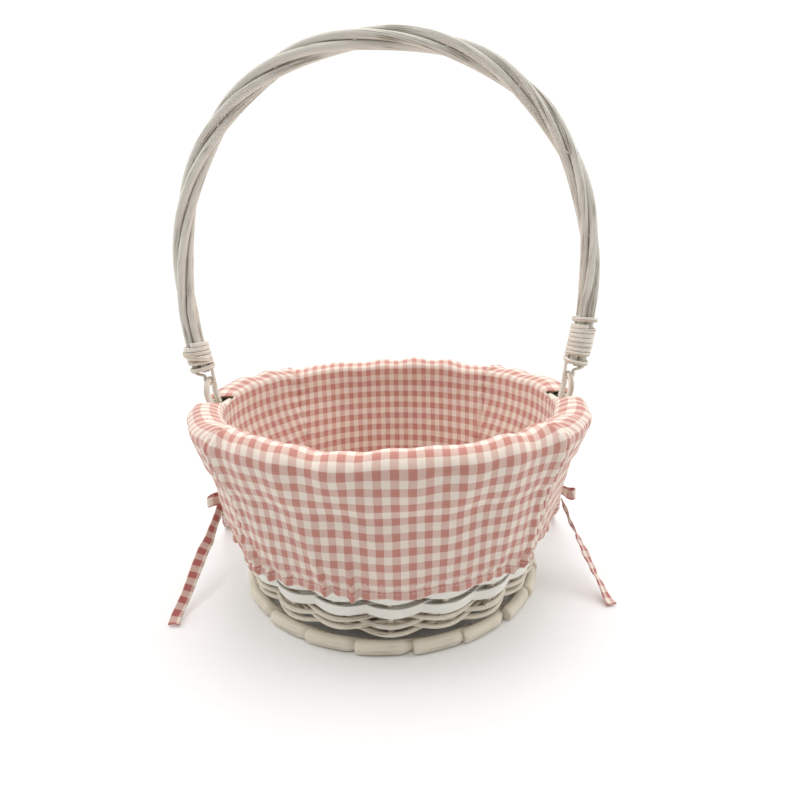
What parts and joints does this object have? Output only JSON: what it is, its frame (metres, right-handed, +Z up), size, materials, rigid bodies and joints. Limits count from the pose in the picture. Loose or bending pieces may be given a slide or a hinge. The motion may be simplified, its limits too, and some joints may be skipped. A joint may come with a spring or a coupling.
{
  "type": "easter basket",
  "caption": "Round willow basket with a twisted handle that folds down and a gingham cotton liner tied at both sides.",
  "frame": {"origin": "centre of the footprint on the surface the basket stands on", "axes": "+Z up through the handle, X from one handle eye to the other, -Y towards the front"},
  "size_m": [0.3272, 0.2992, 0.399],
  "materials": {
    "whitewashed_willow": "whitewashed round willow, matt, thin in places",
    "white_wood_strip": "flat wood strip painted white, matt",
    "handle_willow": "whitewashed thick willow, satin, grain showing through",
    "pale_cane": "whitewashed flat cane, satin",
    "gingham_cotton": "thin cotton woven in a pink and white gingham check, matt",
    "hem_elastic": "white knitted elastic, matt",
    "gingham_tie": "narrow sewn tie of the liner's gingham cotton, matt"
  },
  "bodies": {
    "root": {"base_sticks": "whitewashed_willow", "base_weavers": "whitewashed_willow", "stakes": "whitewashed_willow", "foot_rods": "whitewashed_willow", "lower_wale_1": "whitewashed_willow", "lower_wale_2": "whitewashed_willow", "lower_wale_3": "whitewashed_willow", "lower_wale_4": "whitewashed_willow", "chip_strip_1": "white_wood_strip", "chip_strip_2": "white_wood_strip", "chip_strip_3": "white_wood_strip", "chip_strip_4": "white_wood_strip", "chip_strip_5": "white_wood_strip", "chip_strip_6": "white_wood_strip", "chip_strip_7": "white_wood_strip", "chip_strip_8": "white_wood_strip", "upper_wale_1": "whitewashed_willow", "upper_wale_2": "whitewashed_willow", "rim_rod_inner": "whitewashed_willow", "rim_rod_outer": "whitewashed_willow", "rim_rod_top_front": "whitewashed_willow", "rim_rod_top_back": "whitewashed_willow", "handle_eye_left": "pale_cane", "handle_eye_right": "pale_cane", "liner_bottom": "gingham_cotton", "liner_front": "gingham_cotton", "liner_back": "gingham_cotton", "liner_left": "gingham_cotton", "liner_right": "gingham_cotton", "hem_elastic_front": "hem_elastic", "hem_elastic_back": "hem_elastic", "tie_knot_left": "gingham_tie", "tie_knot_right": "gingham_tie", "tie_loops_left": "gingham_tie", "tie_loops_right": "gingham_tie", "tie_tail_left_front": "gingham_tie", "tie_tail_left_back": "gingham_tie", "tie_tail_right_front": "gingham_tie", "tie_tail_right_back": "gingham_tie"},
    "handle": {"handle_strand_1": "handle_willow", "handle_strand_2": "handle_willow", "handle_strand_3": "handle_willow", "handle_strand_4": "handle_willow", "handle_binding_left": "pale_cane", "handle_binding_right": "pale_cane", "handle_loop_left": "pale_cane", "handle_loop_right": "pale_cane"}
  },
  "joints": [
    {"name": "handle_swing", "type": "hinge", "parent": "root", "child": "handle", "pos_m": [0, 0, 0.15], "axis": [1, 0, 0], "range_deg": [-70, 70]}
  ]
}
